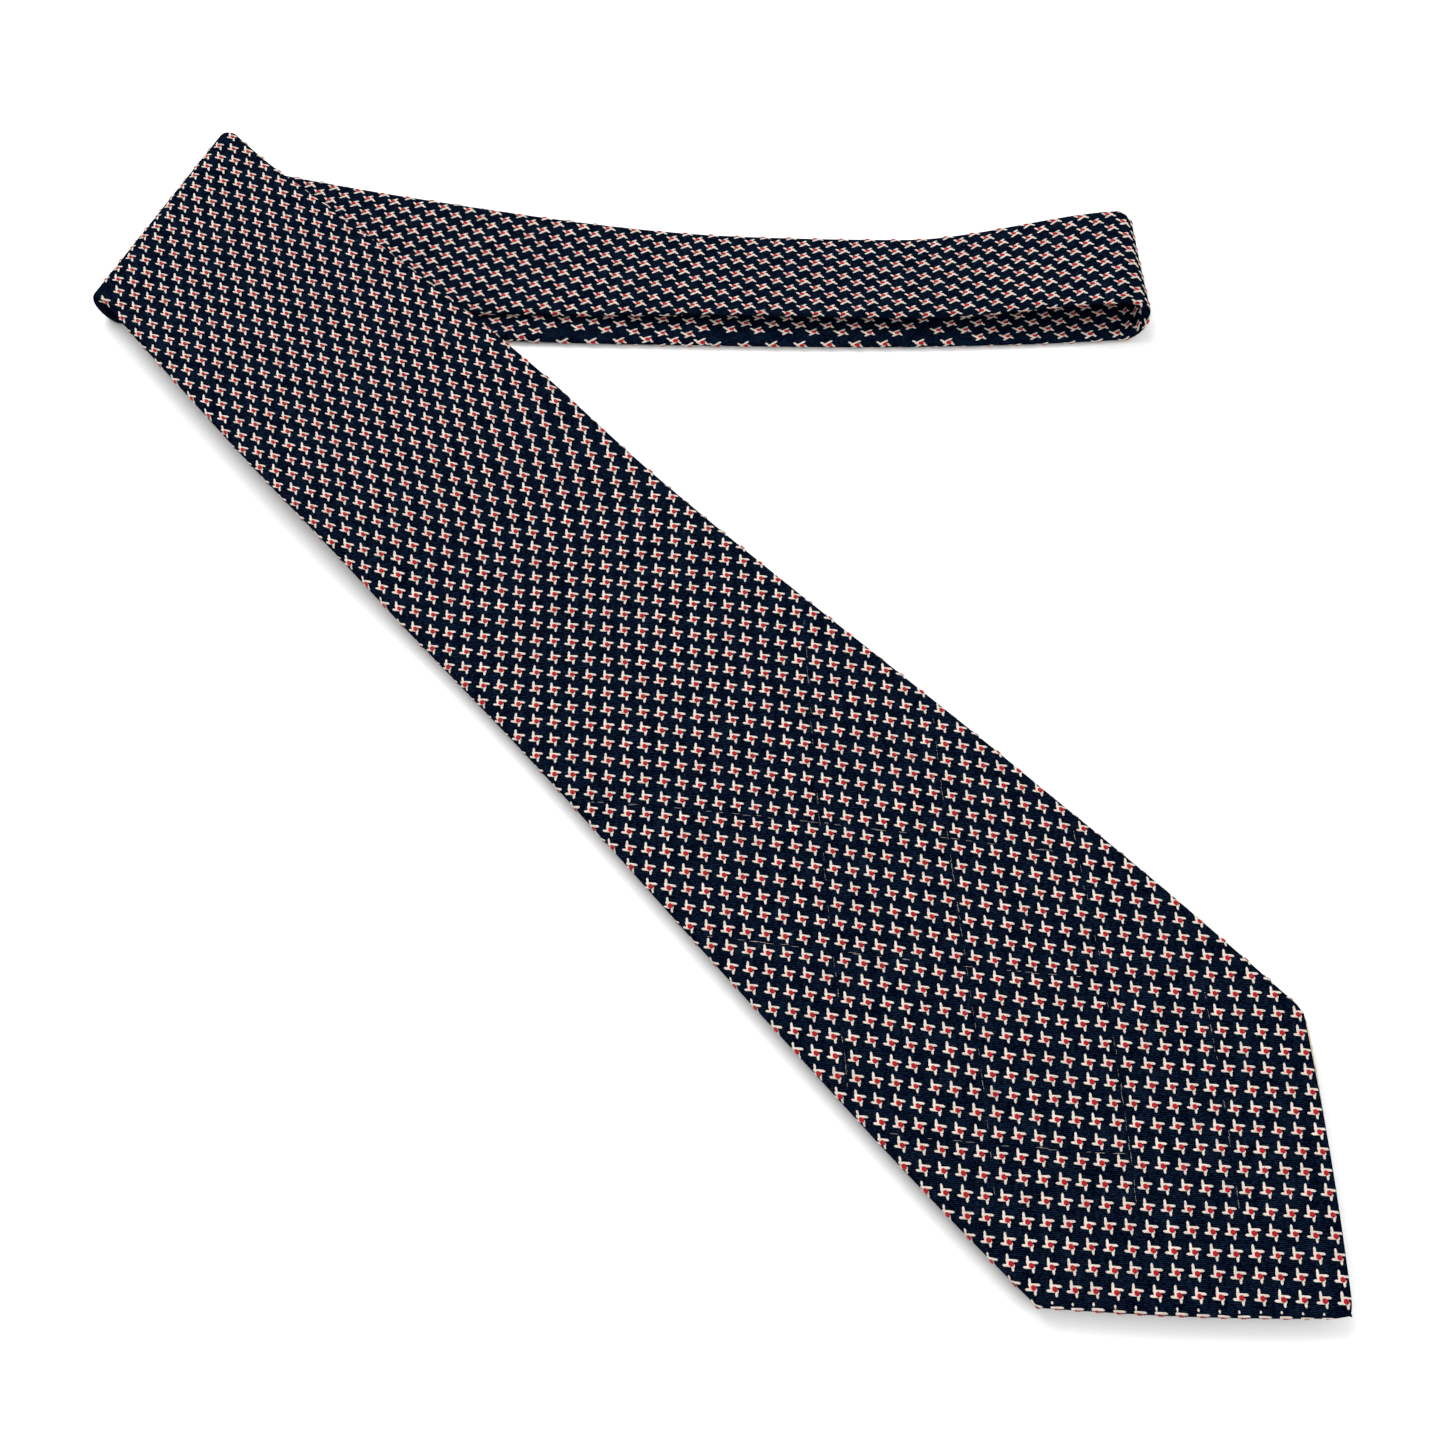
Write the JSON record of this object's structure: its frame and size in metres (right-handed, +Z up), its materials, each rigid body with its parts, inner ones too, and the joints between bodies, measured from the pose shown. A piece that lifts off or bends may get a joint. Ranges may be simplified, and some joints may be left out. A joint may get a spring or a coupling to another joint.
{
  "type": "necktie",
  "caption": "Patterned silk necktie with a pointed blade, folded twice to lie flat, with lined ends, a keeper loop, a blank label and an open neck loop.",
  "frame": {"origin": "middle of the folded tie's footprint, on the surface that it lies on", "axes": "+Z up, away from the surface; +X towards the neck loop and the blade's point; +Y towards the neck"},
  "size_m": [0.322, 0.3296, 0.0144],
  "materials": {
    "patterned_silk": "navy twill with small woven cream windmills and red centres",
    "interlining": "brushed wool and cotton, matt",
    "tipping": "plain navy lining, soft sheen",
    "woven_label": "blank woven satin tape",
    "care_tape": "blank white satin tape",
    "sewing_thread": "navy silk thread"
  },
  "bodies": {
    "root": {"shell_blade_upper": "patterned_silk", "shell_neck": "patterned_silk", "shell_tail_upper": "patterned_silk", "interlining_neck": "interlining", "slip_stitch_neck": "sewing_thread", "shell_blade_fold": "patterned_silk", "interlining_blade_fold": "interlining", "shell_tail_fold": "patterned_silk", "interlining_tail_fold": "interlining"},
    "blade": {"shell_blade": "patterned_silk", "interlining_blade": "interlining", "tipping_blade": "tipping", "slip_stitch_blade": "sewing_thread", "bar_tack_blade": "sewing_thread", "label_blank": "woven_label", "label_tack_near": "sewing_thread", "label_tack_far": "sewing_thread", "care_tag": "care_tape", "care_tag_tack": "sewing_thread", "keeper_loop": "patterned_silk", "keeper_tack_near": "sewing_thread", "keeper_tack_far": "sewing_thread"},
    "tail": {"shell_tail": "patterned_silk", "interlining_tail": "interlining", "tipping_tail": "tipping", "slip_stitch_tail": "sewing_thread", "bar_tack_tail": "sewing_thread"}
  },
  "joints": [
    {"name": "blade_unfold", "type": "hinge", "parent": "root", "child": "blade", "pos_m": [-0.14461, 0.13357, 0.0061], "axis": [-0.4195, -0.9078, 0], "range_deg": [0, 179], "deforming": ["shell_blade_fold", "interlining_blade_fold"]},
    {"name": "tail_unfold", "type": "hinge", "parent": "root", "child": "tail", "pos_m": [-0.14461, 0.13357, 0.0061], "axis": [-0.4195, -0.9078, 0], "range_deg": [0, 179], "deforming": ["shell_tail_fold", "interlining_tail_fold"]}
  ],
  "couplings": [
    {"joint": "tail_unfold", "follows": "blade_unfold", "ratio": 1}
  ]
}
